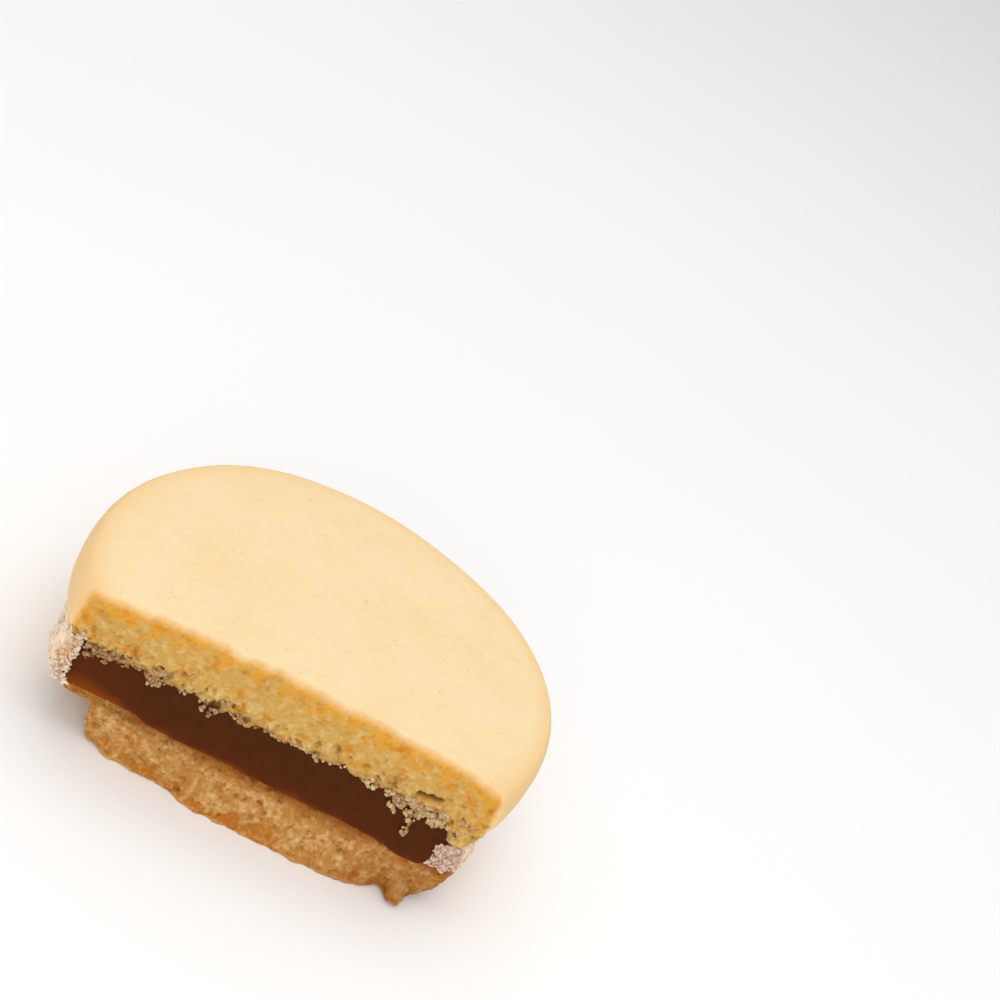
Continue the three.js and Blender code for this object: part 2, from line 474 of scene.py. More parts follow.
def cap_shares(fine: int, fine_step: float, coarse: int) -> Array:
    """Ring sizes of a cap: a few closely spaced at the edge, then even ones towards the pole."""
    edge = 1 - fine_step * np.arange(1, fine + 1)
    inner = np.linspace(edge[-1], 0.02, coarse + 1)[1:]
    return np.concatenate([edge, inner])


def even_steps(side: Array, step: float) -> Array:
    """Spaces the points of a side evenly, counting all of its rise and over half of its run in."""
    moves = np.abs(np.diff(side, axis=0))
    measure = np.concatenate([[0], np.cumsum(moves[:, 1] + 0.6 * moves[:, 0])])
    at = np.linspace(0, measure[-1], int(round(measure[-1] / step)) + 1)
    return np.stack([np.interp(at, measure, side[:, 0]), np.interp(at, measure, side[:, 1])], -1)


def quarter(reach_in: float, rise: float, start: float, end: float, inset: float, z: float) -> Array:
    """Part of an ellipse as inset and height, about a centre that lies reach_in inside the rim."""
    angle = np.linspace(math.radians(start), math.radians(end), 40)
    return np.stack([inset + reach_in * (1 - np.cos(angle)), z + rise * np.sin(angle)], -1)


# ---- Finishes --------------------------------------------------------------------------------


class Slot(Enum):
    """Material slots of the record."""

    UPPER = "upper_biscuit"
    FILLING = "caramel_filling"
    LOWER = "lower_biscuit"


def linear(colour: str) -> tuple[float, float, float, float]:
    """Turns an sRGB hex colour into the linear numbers that a shader takes."""
    parts = [int(colour[i : i + 2], 16) / 255 for i in (1, 3, 5)]
    flat = [p / 12.92 if p <= 0.04045 else ((p + 0.055) / 1.055) ** 2.4 for p in parts]
    return (flat[0], flat[1], flat[2], 1.0)


def per_mm(size: float) -> float:
    """Texture scale at which a pattern's cell is a size in millimetres."""
    return 1 / (size * MM)


def add_node(
    tree: bpy.types.NodeTree,
    kind: str,
    inputs: dict[str | int, object] | None = None,
    **settings: object,
) -> bpy.types.Node:
    """Adds a node with its settings and links.

    Args:
        tree: The node tree.
        kind: Type of the node, such as ShaderNodeTexNoise.
        inputs: Values or sockets for its inputs, by name or number. A hex colour is turned linear.
        settings: Properties of the node.

    Returns:
        The node.
    """
    node = tree.nodes.new(kind)
    for name, value in settings.items():
        setattr(node, name, value)
    for socket, value in (inputs or {}).items():
        if isinstance(value, bpy.types.NodeSocket):
            tree.links.new(value, node.inputs[socket])
        elif isinstance(value, str):
            node.inputs[socket].default_value = linear(value)
        else:
            node.inputs[socket].default_value = value
    return node


class Painter:
    """A material's node tree, with the few nodes that every finish here is made of."""

    def __init__(self, name: str) -> None:
        """Makes an empty material with its object coordinates ready."""
        self.material = bpy.data.materials.new(name)
        self.material.use_nodes = True
        self.tree = self.material.node_tree
        self.tree.nodes.clear()
        self.place = add_node(self.tree, "ShaderNodeTexCoord").outputs["Object"]

    def mark(self, name: str) -> bpy.types.NodeSocket:
        """A number that the mesh carries."""
        return add_node(self.tree, "ShaderNodeAttribute", attribute_name=name).outputs["Fac"]

    def noise(
        self,
        size: float,
        low: float,
        high: float,
        detail: float = 3.0,
        most: float = 1.0,
        stretch: float = 1.0,
    ) -> bpy.types.NodeSocket:
        """Soft noise, as 0 below one of its levels and the most above another.

        Args:
            size: Size of its patches in millimetres.
            low: Level at which it starts.
            high: Level at which it is full. If it is less than low, the noise's hollows count.
            detail: Number of finer layers.
            most: Its value where it is full.
            stretch: Factor by which it is drawn out upwards.

        Returns:
            The socket that carries it.
        """
        squeezed = {"Vector": self.place, "Scale": (1.0, 1.0, 1 / stretch)}
        where = add_node(self.tree, "ShaderNodeMapping", squeezed).outputs["Vector"]
        inputs = {"Vector": where, "Scale": per_mm(size), "Detail": detail, "Roughness": 0.6}
        made = add_node(self.tree, "ShaderNodeTexNoise", inputs)
        return self.between(made.outputs["Fac"], low, high, most)

    def between(
        self, value: bpy.types.NodeSocket, low: float, high: float, most: float = 1.0
    ) -> bpy.types.NodeSocket:
        """Eases a number from 0 at one level to the most at another."""
        inputs = {"Value": value, "From Min": low, "From Max": high, "To Max": most}
        made = add_node(self.tree, "ShaderNodeMapRange", inputs, interpolation_type="SMOOTHSTEP")
        return made.outputs["Result"]

    def add(self, first: bpy.types.NodeSocket, second: object) -> bpy.types.NodeSocket:
        """The sum of a socket and another socket or a number."""
        made = add_node(self.tree, "ShaderNodeMath", {0: first, 1: second}, operation="ADD")
        return made.outputs["Value"]

    def blend(self, share: object, first: object, second: object) -> bpy.types.NodeSocket:
        """Goes from one colour to another by a share."""
        inputs = {0: share, 6: first, 7: second}
        return add_node(self.tree, "ShaderNodeMix", inputs, data_type="RGBA").outputs[2]

    def finish(self, colour: object, bump: bpy.types.NodeSocket, **shader: object) -> bpy.types.Material:
        """Joins the colour and the relief to one shader.

        Args:
            colour: Socket or hex colour.
            bump: Socket of the relief.
            shader: bump_mm, the relief's height, and values for the shader's own sockets.

        Returns:
            The material.
        """
        height = {"Height": bump, "Distance": shader.pop("bump_mm") * MM, "Strength": 1.0}
        relief = add_node(self.tree, "ShaderNodeBump", height)
        inputs = {key.replace("_", " "): value for key, value in shader.items()}
        inputs |= {"Base Color": colour, "Normal": relief.outputs["Normal"]}
        surface = add_node(self.tree, "ShaderNodeBsdfPrincipled", inputs, subsurface_method="RANDOM_WALK")
        add_node(self.tree, "ShaderNodeOutputMaterial", {"Surface": surface.outputs["BSDF"]})
        return self.material


@dataclass(frozen=True)
class BakedCornflour:
    """Cornflour biscuit dough, baked on a tray and cut with a knife.

    The crust is fine and matt, pale where the oven reached it least and peach at the shoulder, the
    peach partly browning and partly painted shade. The crumb is golden just under the crust, a painted
    glow of light coming through it, beige further in, with whitish grains and orange fat spots. The
    grain colour also paints highlights on the relief's tips, and the pit colour paints shade in its
    pits, creases and the crack.
    """

    name: str
    pale: str
    toasted_and_shade: str
    speck: str
    golden: str
    beige: str
    # grain is the crumb's whitish grains, and also the painted highlight on the relief's tips.
    grain: str
    spot: str
    # pit is dark specks in the crumb, and also the painted shade in the relief's pits, creases and crack.
    pit: str
    stain_and_shade: str
    spot_mm: float
    spot_level: float
    golden_glow_reach: float
    sandy: float

    def material(self) -> bpy.types.Material:
        """Mixes crust and crumb by the marks that the mesh carries."""
        p = Painter(self.name)
        mottle = p.add(p.noise(9.0, 0.35, 0.7, most=0.3), p.noise(1.1, 0.3, 0.8, 4.0, 0.25))
        crust = p.blend(mottle, self.pale, self.toasted_and_shade)
        # Browner where the mesh marks it baked: real browning, and on the upper biscuit's shoulder also
        # painted shade.
        crust = p.blend(p.mark("baked"), crust, self.toasted_and_shade)
        crust = p.blend(p.noise(1.9, 0.64, 0.78, most=0.45), crust, self.speck)
        wander = p.add(p.noise(1.9, 0.25, 0.75, 4.0, 0.5), -0.25)
        deep = p.add(p.mark("depth"), wander)
        inner = p.blend(p.noise(1.25, 0.42, 0.72, 4.0, self.sandy), self.beige, self.grain)
        inner = p.blend(p.noise(0.8, 0.45, 0.2, most=self.sandy), inner, self.pit)
        outer = p.blend(p.noise(1.0, 0.5, 0.75, 4.0, self.sandy), self.golden, self.beige)
        outer = p.blend(p.noise(0.7, 0.45, 0.2, most=self.sandy), outer, self.spot)
        # Golden just under the crust, fading to beige deeper in: a painted glow of light coming through the
        # crust.
        crumb = p.blend(p.between(deep, 0.02, self.golden_glow_reach), outer, inner)
        spots = p.noise(self.spot_mm, self.spot_level, self.spot_level + 0.12, most=0.8)
        crumb = p.blend(spots, crumb, self.spot)
        # Painted highlight on the relief's tips, and painted shade in its pits, creases and the crack.
        crumb = p.blend(p.between(p.mark("relief"), 0.25, 0.9, 0.6), crumb, self.grain)
        crumb = p.blend(p.between(p.mark("relief"), 0.05, -0.7, 0.75), crumb, self.pit)
        colour = p.blend(p.mark("crumb"), crust, crumb)
        # Caramel soaked into the crumb; on the upper biscuit also painted shadow in the gaps behind crumbs
        # and painted shade in the crack.
        colour = p.blend(p.mark("stain_and_shade"), colour, self.stain_and_shade)
        return p.finish(
            colour,
            p.noise(0.35, 0.2, 0.8, 4.0),
            bump_mm=0.08,
            Roughness=0.78,
            IOR=1.45,
            Specular_IOR_Level=0.12,
            Subsurface_Weight=0.18,
            Subsurface_Radius=(1.0, 0.55, 0.22),
            Subsurface_Scale=0.9 * MM,
        )


@dataclass(frozen=True)
class BoiledCaramel:
    """Milk caramel, boiled thick, spread and then drawn by the knife: smooth with a satin gloss."""

    name: str
    deep: str
    warm: str
    amber: str

    def material(self) -> bpy.types.Material:
        """Dark in the body, warmer in patches and amber where it thins out at its edges."""
        p = Painter(self.name)
        colour = p.blend(p.noise(5.0, 0.4, 0.75, most=0.5), self.deep, self.warm)
        drawn = p.noise(0.5, 0.4, 0.8, most=0.6, stretch=7.0)
        colour = p.blend(drawn, colour, self.warm)
        colour = p.blend(p.mark("warm"), colour, self.warm)
        colour = p.blend(p.mark("thin"), colour, self.amber)
        return p.finish(
            colour,
            p.noise(0.5, 0.3, 0.7, 2.0),
            bump_mm=0.02,
            Roughness=0.5,
            IOR=1.48,
            Specular_IOR_Level=0.06,
            Subsurface_Weight=0.12,
            Subsurface_Radius=(1.0, 0.35, 0.12),
            Subsurface_Scale=1.2 * MM,
        )


@dataclass(frozen=True)
class StickyGrains:
    """Small grains on sticky caramel, such as fine dried coconut or crumbs torn from a biscuit."""

    name: str
    white: str
    tinted: str
    sugary: str

    def material(self) -> bpy.types.Material:
        """Pale, with tinted and sugary patches, and tinted by a mark: caramel staining, and on the coconut
        also painted shade in hollows and at the +X cut end.
        """
        p = Painter(self.name)
        colour = p.blend(p.noise(1.4, 0.45, 0.85), self.white, self.tinted)
        colour = p.blend(p.noise(2.4, 0.54, 0.74), colour, self.sugary)
        colour = p.blend(p.mark("stain_and_shade"), colour, self.tinted)
        return p.finish(
            colour,
            p.noise(0.4, 0.3, 0.7),
            bump_mm=0.06,
            Roughness=0.7,
            IOR=1.45,
            Specular_IOR_Level=0.15,
            Subsurface_Weight=0.25,
            Subsurface_Radius=(1.0, 0.75, 0.55),
            Subsurface_Scale=0.8 * MM,
        )


# Creamy crust, yellow crumb; the dark soak colour also paints shadow in the torn foot's gaps and the crack.
UPPER_FINISH = BakedCornflour(
    name="cornflour_biscuit_pale_bake",
    pale="#fbe1b2",
    toasted_and_shade="#f7cf95",
    speck="#eeb26a",
    golden="#e2a136",
    beige="#d1a454",
    grain="#e9cd91",
    spot="#d58a22",
    pit="#ad7636",
    stain_and_shade="#4a2410",
    spot_mm=2.1,
    spot_level=0.54,
    golden_glow_reach=0.42,
    sandy=0.6,
)
# Crust and crumb are browner than the upper biscuit's.
LOWER_FINISH = BakedCornflour(
    name="cornflour_biscuit_golden_bake",
    pale="#f0cf98",
    toasted_and_shade="#c98f4e",
    speck="#b87a38",
    golden="#ba7426",
    beige="#be8540",
    grain="#e6c183",
    spot="#d97426",
    pit="#7d4715",
    stain_and_shade="#8f4a08",
    spot_mm=2.6,
    spot_level=0.61,
    golden_glow_reach=0.3,
    sandy=0.8,
)
# Dark brown with a satin sheen, amber at its thin foot.
CARAMEL_FINISH = BoiledCaramel(name="milk_caramel_satin", deep="#4a2307", warm="#572609", amber="#803a05")
# Whitish, faintly pink, with warm sugary patches; the pink also paints shade on the coat.
COCONUT_FINISH = StickyGrains("grated_coconut", "#ffe6c4", "#cfa69c", "#fcbd78")
# Beige, and brown where it is soaked.
CRUMB_FINISH = StickyGrains("loose_cornflour_crumb", "#e6c48e", "#87502c", "#dba763")


# ---- The layers ------------------------------------------------------------------------------


@dataclass(frozen=True)
class Stack:
    """Heights that the layers share, from the CAD frame, and the y of the cut's straight line."""

    place: Place
    cut_y: float
    lower_top: float
    upper_base: float
    top: float

    def up_filling(self, z: Array) -> Array:
        """Height within the filling, as a share: 0 at its foot and 1 at its top."""
        return (z - self.lower_top) / (self.upper_base - self.lower_top)

    def near_cut(self, y: Array, start: Array | float, full: Array | float) -> Array:
        """Eases from 0 at one distance behind the cut to 1 at another."""
        return ramp(y, self.cut_y + start, self.cut_y + full)


def close(points: Array, slab: Slab, marks: dict[str, Array]) -> Skin:
    """Flattens a grid, adds its poles and gives them the marks of the rings beside them."""
    rows, columns = points.shape[:2]
    every = np.concatenate([points.reshape(-1, 3), slab.poles()])
    full = {}
    for name, values in marks.items():
        spread = np.broadcast_to(values, (rows, columns))
        full[name] = np.concatenate([spread.ravel(), [spread[0].mean(), spread[-1].mean()]])
    return Skin(every, wrapped_faces(rows, columns), full)


def cut_places(x: Array, z: Array | float = 0.0) -> Array:
    """Places in the plane of the cut, so that noise taken there is the same at every depth."""
    return np.stack(np.broadcast_arrays(x, 0.0, z), -1)


@dataclass(frozen=True)
class TornCrumb:
    """Relief of torn crumb: rounded grains of two sizes, soft lumps, and pits between them.

    Sizes are in millimetres. A pit starts where its noise passes one level and is full at another.
    heights are those of the four in that order, and torn_more is what each gains where the crumb is
    torn and not cut.
    """

    coarse: float
    fine: float
    pit: float
    pit_from: float
    pit_full: float
    seed: int
    pit_seed: int
    heights: tuple[float, ...]
    torn_more: tuple[float, ...] = (0.0, 0.0, 0.0, 0.0)
    lump: float = 2.4

    def at(self, places: Array) -> tuple[Array, Array, Array, Array]:
        """Strengths of the coarse grains, fine grains, lumps and pits at some places."""
        coarse = rubble(places, self.coarse, self.seed)
        fine = rubble(places, self.fine, self.seed + 1)
        soft = cloud(places, self.lump, self.seed + 2, 4)
        pits = ramp(cloud(places, self.pit, self.pit_seed), self.pit_from, self.pit_full)
        return coarse, fine, soft, pits

    def relief(self, parts: tuple[Array, ...], torn: Array | float = 0.0) -> Array:
        """Adds the four up, each times its height.

        Args:
            parts: What at() gives.
            torn: 0 where the crumb is cut and 1 where it is torn.

        Returns:
            How far the surface stands out, in millimetres.
        """
        weights = [height + more * torn for height, more in zip(self.heights, self.torn_more)]
        return sum(weight * part for weight, part in zip(weights, parts))


def layer_base(slab: Slab) -> tuple[Array, Array, Array, Array, Array]:
    """A layer's grid, its outward directions and its x, y and z on their own."""
    base = slab.grid()
    return base, grid_normals(base), base[..., 0], base[..., 1], base[..., 2]


@dataclass
class UpperBiscuit:
    """The upper biscuit: flat below, domed above, its crumb torn where it leaves the caramel.

    Along the cut the torn crumb hangs down by droop, more at the bells of hanging and less at those
    of eaten. The lip lies lip_back behind the line of the cut, lip_ends brings it forward at both
    ends, and lip_bays moves it a little between them. The crack rises by crack_slope along the cut.
    """

    stack: Stack
    plan: Plan = Plan(33.0, 0.0, ((2, -0.13, 0.03), (3, 0.01, 0.42), (4, 0.02, 0.37), (9, 0.05, 0.04)))
    foot: float = 1.3
    shoulder_in: float = 1.7
    shoulder_up: float = 4.4
    dome: float = 1.0
    lip_radius: float = 1.3
    sunk: float = 0.25
    eaten_back: float = 2.5
    droop: float = 0.5
    eaten: tuple[Wave, ...] = ((18.5, 3.6, 0.9), (8.5, 1.2, 0.6))
    hanging: tuple[Wave, ...] = ((-17.5, 2.2, 0.5), (-6.0, 2.0, 0.3), (26.2, 1.9, 3.2))
    lip_back: float = 0.15
    lip_ends: tuple[Wave, ...] = ((-19.0, -22.5, -0.9), (22.5, 26.5, -0.9))
    lip_bays: tuple[Wave, ...] = ((-9.3, 1.6, -0.5), (-3.5, 1.6, 0.35))
    texture: TornCrumb = TornCrumb(
        1.0, 0.5, 1.1, 0.22, 0.6, 41, 45, (0.2, 0.17, 0.2, -0.8), (0.25, 0.1, 0.2, 0.0)
    )
    crack_low: float = 0.5
    crack_slope: float = 0.18
    crack_width: float = 0.36
    crack_depth: float = 0.6
    cut_columns: int = 470
    rim_columns: int = 230

    def side(self) -> Array:
        """Rim profile: a rounded foot, an upright wall and an elliptical shoulder."""
        base = self.stack.upper_base
        shoulder = self.stack.top - self.dome - self.shoulder_up
        foot = quarter(self.foot, self.foot, -90, 0, 0, base + self.foot)
        over = quarter(self.shoulder_in, self.shoulder_up, 0, 90, 0, shoulder)
        return even_steps(np.concatenate([foot, over]), 0.135)

    def high(self, x: Array, y: Array) -> Array:
        """Baked face: falls from the middle as the square of the distance, with faint hollows."""
        out = np.clip(np.hypot(x, y) / (self.plan.radius - self.shoulder_in), 0, 1)
        uneven = 0.12 * cloud(np.stack([x, y, np.zeros_like(x)], -1), 10.0, 3, 2) * (1 - out**6)
        return self.stack.top - self.dome * out**2 + uneven

    def low(self, x: Array, y: Array) -> Array:
        """Underside: flat, sunk a little into the caramel, and eaten away where the cut shows it."""
        back = self.eaten_back * (1 + ramp(x, 22.0, 25.0))
        ragged = 0.35 * cloud(cut_places(x), 2.3, 11) + 0.42 * cloud(cut_places(x), 0.8, 12, 2)
        torn = ragged + (humps(x, self.eaten) - self.droop) - humps(x, self.hanging)
        return self.stack.upper_base - self.sunk + self.stack.near_cut(y, back, 0.4 * back) * torn

    def cut(self, x: Array, z: Array) -> Array:
        """Cut face: a slow wander of the lip, a rounded lip and a jagged line of the crust.

        The lip draws back along a quarter circle: its radius less the root of the radius squared
        less the square of how far a place lies from the circle's middle.
        """
        share = np.clip((z - self.stack.upper_base) / (self.stack.top - self.stack.upper_base), 0, 1)
        wander = self.lip_back + slopes(x, self.lip_ends) + humps(x, self.lip_bays)
        jag = 0.16 * cloud(cut_places(x), 1.7, 21) + 0.22 * cloud(cut_places(x), 5.0, 22)
        top = self.high(x, np.full_like(x, self.stack.cut_y))
        below = np.clip(top - z, 0, self.lip_radius)
        lip = self.lip_radius - np.sqrt(self.lip_radius**2 - (self.lip_radius - below) ** 2)
        near_lip = ramp(z, top - 2.4, top - 0.3)
        return self.stack.cut_y + wander * share + jag * near_lip + lip

    def build(self) -> Skin:
        """Grids the layer, then adds grain to the crumb and a faint unevenness to the crust.

        Returns:
            The surface, with marks for crumb, depth under the crust (for the painted glow), relief (for
            painted highlight and shade), baking with painted shade at the shoulder, and caramel soak with
            painted shadow in the gaps of the torn foot and in the crack.
        """
        caps = (cap_shares(2, 0.02, 5), cap_shares(5, 0.01, 34))
        shapes = (self.plan, self.side(), self.low, self.high, self.cut)
        slab = Slab(*shapes, self.cut_columns, self.rim_columns, *caps)
        base, normal, x, y, z = layer_base(slab)
        seam = self.stack.upper_base
        face = (np.arange(base.shape[1]) < self.cut_columns)[None]
        below = self.high(x, y) - z
        rim_in = self.plan.distance_in(x, y)
        at_cut = face * (y < self.stack.cut_y + 3.5)
        wavering = below + 0.22 * cloud(base, 1.4, 31)
        crumb = at_cut * ramp(wavering, -0.5, 1.05) * ramp(below, 0.0, 0.15)
        crumb = crumb * ramp(rim_in + 0.3 * cloud(base, 1.4, 32), 0.1, 1.1)
        torn = ramp(z + 0.5 * cloud(base, 3.0, 33), seam + 2.6, seam + 0.5)
        torn = np.maximum(torn, 0.8 * ramp(x, 20.0, 26.0) * ramp(z, 22.0, 18.0))
        coarse, fine, soft, pits = self.texture.at(base)
        pits = pits * (0.25 + 0.75 * torn)
        crack = self.crack(base)
        relief = self.texture.relief((coarse, fine, soft, pits), torn) - self.crack_depth * crack
        skin = 0.03 * cloud(base, 1.3, 51, 2)
        edge = ramp(np.abs(x), 31.0, 28.5)
        points = base + normal * (crumb * (0.4 + 0.6 * edge) * relief + (1 - crumb) * skin)[..., None]
        marks = {
            "crumb": crumb,
            # depth sets the painted golden glow under the crust.
            "depth": np.clip(np.minimum(below, rim_in) / PALE_DEPTH, 0, 1),
            # relief paints highlight on grain tips and shade in pits, creases and the crack.
            "relief": (coarse * 0.5 + fine * 0.4 + soft * 0.35) * (0.5 + 0.5 * torn) - 0.6 * pits - crack,
            # Peach at the shoulder: partly browning, partly painted shade where the crust turns from the
            # light.
            "baked": (1 - crumb) * ramp(rim_in, 4.5, 0.2),
            # Caramel soak in the torn foot, partly painted shadow in the gaps behind crumbs, and painted
            # shade in the crack.
            "stain_and_shade": crumb * np.clip(self.soak_and_gap_shadow(base) + 0.7 * crack, 0, 1),
        }
        return close(points, slab, marks)

    def crack(self, base: Array) -> Array:
        """Depth of the crack near the +X end, which rises along the cut and is broken by noise."""
        x = base[..., 0]
        middle = self.stack.upper_base + self.crack_low + self.crack_slope * (x - 15.0)
        along = ramp(x, 13.5, 15.5) * ramp(x, 23.0, 21.0) * ramp(cloud(base, 1.6, 48), -0.25, 0.25)
        return swell(base[..., 2] + 0.35 * cloud(base, 1.6, 44), middle, self.crack_width) * along

    def soak_and_gap_shadow(self, base: Array) -> Array:
        """How far caramel has soaked into the torn foot, with patches that paint the shadow in the gaps
        behind crumbs: more towards both ends than between.
        """
        x = base[..., 0]
        seam = self.stack.upper_base
        low = ramp(base[..., 2] + 0.9 * cloud(base, 1.2, 46), seam + 0.5, seam - 0.9)
        patchy = 0.35 + 0.65 * ramp(cloud(base, 0.8, 47), -0.1, 0.25)
        soaked = 0.5 + 0.5 * np.maximum(ramp(x, -2.0, -7.0), ramp(x, 12.0, 15.0))
        return low * patchy * soaked * ramp(np.abs(x + 1.0), 25.5, 23.5)


@dataclass
class Filling:
    """The caramel: a rim hidden in its coat, and a face that the knife has drawn smooth.

    plan is the outside of the coat, and core() is where the caramel itself ends. smear says where
    along the cut the knife has drawn the foot down over the biscuit, or left it higher.
    """

    stack: Stack
    plan: Plan = Plan(
        31.3,
        -1.1,
        ((3, 0.1, 0.12), (5, -0.12, 0.12), (7, 0.1, 0.1), (11, 0.08, -0.06)),
        ((3.56, 0.13, 0.75), (3.06, 0.25, -1.7), (-0.43, 0.16, 1.3)),
    )
    coat: float = 1.2
    left_coat: float = 0.3
    right_coat: float = 1.6
    widest: float = 0.4
    foot_in: float = 1.7
    top_in: float = 1.5
    inset: float = 0.35
    overlap: float = 0.25
    smear: tuple[Wave, ...] = ((17.5, 20.5, 0.75), (25.5, 27.5, -0.75), (-15.0, -17.5, -0.7))
    cut_columns: int = 400
    rim_columns: int = 150

    def core(self) -> Plan:
        """The coat's outside, drawn in by the coat's thickness, which grows at the cut's ends."""
        ends = ((3.617, 0.16, -self.left_coat), (-0.476, 0.16, -self.right_coat))
        return Plan(self.plan.radius - self.coat, self.plan.shift, self.plan.waves, self.plan.bumps + ends)

    def side(self) -> Array:
        """Rim profile: two quarter ellipses that meet below the middle."""
        base, top = self.stack.lower_top - 0.2, self.stack.upper_base + self.overlap
        rise = (top - base) * self.widest
        foot = quarter(self.foot_in * 0.4, rise, -90, 0, 0, base + rise)
        over = quarter(self.top_in * 0.6, top - base - rise, 0, 90, 0, base + rise)
        return even_steps(np.concatenate([foot, over]), 0.16)

    def low(self, x: Array, y: Array) -> Array:
        """Lower face: sunk into the lower biscuit, over which it is smeared towards +X."""
        smear = slopes(x, self.smear) + 0.2 * cloud(cut_places(x), 4.0, 62)
        return self.stack.lower_top - 0.1 - self.stack.near_cut(y, 2.5, 0.8) * smear

    def high(self, x: Array, y: Array) -> Array:
        """Upper face, reaching a little into the upper biscuit."""
        return np.full_like(x, self.stack.upper_base + self.overlap)

    def cut(self, x: Array, z: Array) -> Array:
        """Cut face: near the cut, bulging forward a little at its foot like something soft."""
        sag = 0.5 * swell(self.stack.up_filling(z), 0.1, 0.3)
        return self.stack.cut_y + self.inset - sag + 0.12 * cloud(cut_places(x, z * 0.5), 7.0, 61, 2)

    def build(self) -> Skin:
        """Grids the layer, then adds the knife's upright drag lines and a few burst bubbles.

        Returns:
            The surface, with marks for where the caramel is warm in colour and where it is thin.
        """
        shapes = (self.core(), self.side(), self.low, self.high, self.cut)
        slab = Slab(*shapes, self.cut_columns, self.rim_columns, *[cap_shares(2, 0.02, 4)] * 2)
        base, normal, x, y, z = layer_base(slab)
        at_cut = (np.arange(base.shape[1]) < self.cut_columns)[None] * (y < self.stack.cut_y + 2.0)
        drag = 0.03 * cloud(cut_places(x, z * 0.12), 0.8, 71, 2) + 0.05 * cloud(base, 2.2, 72, 2)
        dome, own = grains(base, 2.2, 73)
        bubble = ramp(dome, 0.86, 0.98) * (own > 0.78)
        points = base + normal * (at_cut * (drag - 0.22 * bubble))[..., None]
        up = (z - self.low(x, y)) / (self.stack.upper_base - self.stack.lower_top)
        wander = 0.05 * cloud(base, 2.5, 74, 3)
        at_left = 0.8 * ramp(x, -17.0, -26.0)
        marks = {
            "thin": at_cut * ramp(up + 1.6 * wander, 0.1 + 0.16 * ramp(x, -16.0, -25.0), -0.06),
            "warm": at_cut * np.clip(at_left + 0.5 * ramp(up + wander, 0.3, 0.08), 0, 1),
        }
        return close(points, slab, marks)


